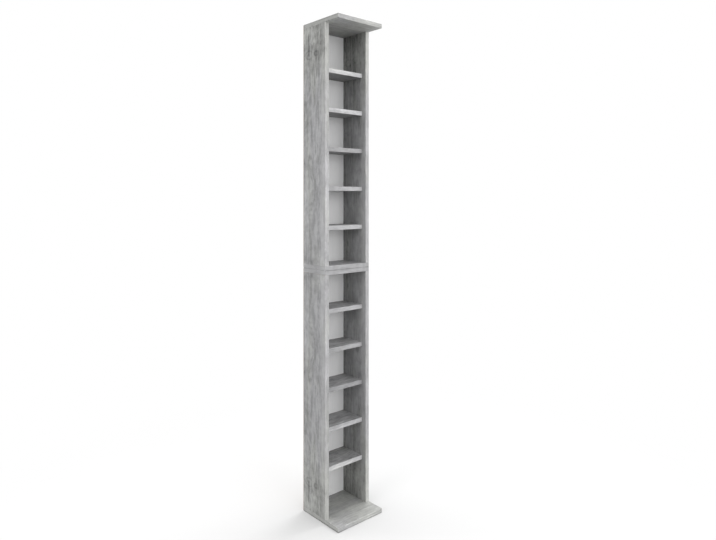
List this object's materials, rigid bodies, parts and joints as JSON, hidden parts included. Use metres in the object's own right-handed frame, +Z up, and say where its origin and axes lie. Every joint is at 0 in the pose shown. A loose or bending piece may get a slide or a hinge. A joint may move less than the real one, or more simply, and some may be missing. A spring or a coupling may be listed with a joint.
{
  "type": "cd dvd storage tower",
  "caption": "Tall narrow open storage tower for discs: two equal shelf cabinets stacked end to end, with a deep plate at the floor and at the top.",
  "frame": {"origin": "middle of the footprint, on the floor", "axes": "+Z up along the tower's height, -Y out of the open front, +X to the right seen from the front"},
  "size_m": [0.208, 0.204, 1.8001],
  "materials": {
    "board_decor": "matte printed concrete-grey decor on particle board",
    "back_board": "smooth light grey coated hardboard",
    "zinc_steel": "bright zinc plate",
    "wire_steel": "bright drawn wire",
    "beech": "bare wood"
  },
  "bodies": {
    "root": {"base_plate": "board_decor", "top_plate": "board_decor", "lower_middle_plate": "board_decor", "upper_middle_plate": "board_decor", "lower_left_side": "board_decor", "lower_right_side": "board_decor", "upper_left_side": "board_decor", "upper_right_side": "board_decor", "lower_shelf_1": "board_decor", "lower_shelf_2": "board_decor", "lower_shelf_3": "board_decor", "lower_shelf_4": "board_decor", "lower_shelf_5": "board_decor", "upper_shelf_1": "board_decor", "upper_shelf_2": "board_decor", "upper_shelf_3": "board_decor", "upper_shelf_4": "board_decor", "upper_shelf_5": "board_decor", "lower_back_panel": "back_board", "upper_back_panel": "back_board", "lower_shelf_1_left_wire": "wire_steel", "lower_shelf_1_right_wire": "wire_steel", "lower_shelf_2_left_wire": "wire_steel", "lower_shelf_2_right_wire": "wire_steel", "lower_shelf_3_left_wire": "wire_steel", "lower_shelf_3_right_wire": "wire_steel", "lower_shelf_4_left_wire": "wire_steel", "lower_shelf_4_right_wire": "wire_steel", "lower_shelf_5_left_wire": "wire_steel", "lower_shelf_5_right_wire": "wire_steel", "upper_shelf_1_left_wire": "wire_steel", "upper_shelf_1_right_wire": "wire_steel", "upper_shelf_2_left_wire": "wire_steel", "upper_shelf_2_right_wire": "wire_steel", "upper_shelf_3_left_wire": "wire_steel", "upper_shelf_3_right_wire": "wire_steel", "upper_shelf_4_left_wire": "wire_steel", "upper_shelf_4_right_wire": "wire_steel", "upper_shelf_5_left_wire": "wire_steel", "upper_shelf_5_right_wire": "wire_steel", "lower_base_left_screw": "zinc_steel", "lower_base_right_screw": "zinc_steel", "lower_middle_left_screw": "zinc_steel", "lower_middle_right_screw": "zinc_steel", "upper_middle_left_screw": "zinc_steel", "upper_middle_right_screw": "zinc_steel", "upper_top_left_screw": "zinc_steel", "upper_top_right_screw": "zinc_steel", "lower_base_left_dowel": "beech", "lower_base_right_dowel": "beech", "lower_middle_left_dowel": "beech", "lower_middle_right_dowel": "beech", "upper_middle_left_dowel": "beech", "upper_middle_right_dowel": "beech", "upper_top_left_dowel": "beech", "upper_top_right_dowel": "beech", "connector_left_sleeve": "zinc_steel", "connector_left_screw": "zinc_steel", "connector_right_sleeve": "zinc_steel", "connector_right_screw": "zinc_steel"}
  },
  "joints": []
}
